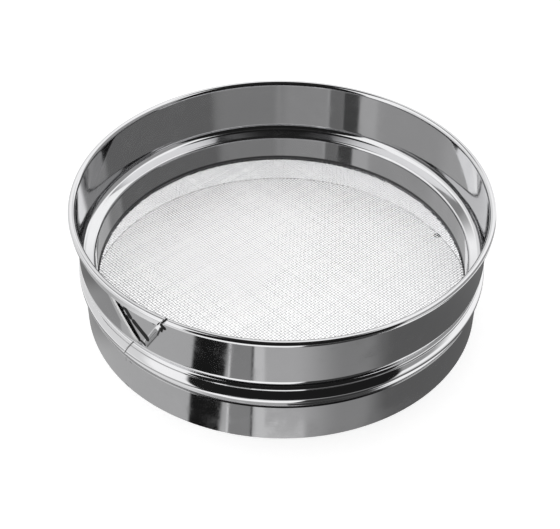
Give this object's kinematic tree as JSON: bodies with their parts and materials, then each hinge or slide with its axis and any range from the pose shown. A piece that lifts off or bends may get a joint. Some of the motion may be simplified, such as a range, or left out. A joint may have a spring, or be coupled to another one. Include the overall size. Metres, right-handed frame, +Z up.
{
  "type": "laboratory test sieve",
  "caption": "Round laboratory test sieve with a rolled-rim steel frame, a beaded lower frame that nests in the next sieve, and woven wire cloth across the throat.",
  "frame": {"origin": "centre of the skirt's foot, on the surface the sieve stands on", "axes": "+Z up along the sieve's axis; the lap seam of the upper frame faces the front left, between -X and -Y"},
  "size_m": [0.207, 0.207, 0.0645],
  "materials": {
    "polished_frame": "mirror-polished rolled sheet with faint rolling waves and hairline scratches",
    "woven_wire": "fine plain-woven bright steel wire"
  },
  "bodies": {
    "root": {"upper_frame": "polished_frame", "lower_frame": "polished_frame", "wire_cloth": "woven_wire"}
  },
  "joints": []
}
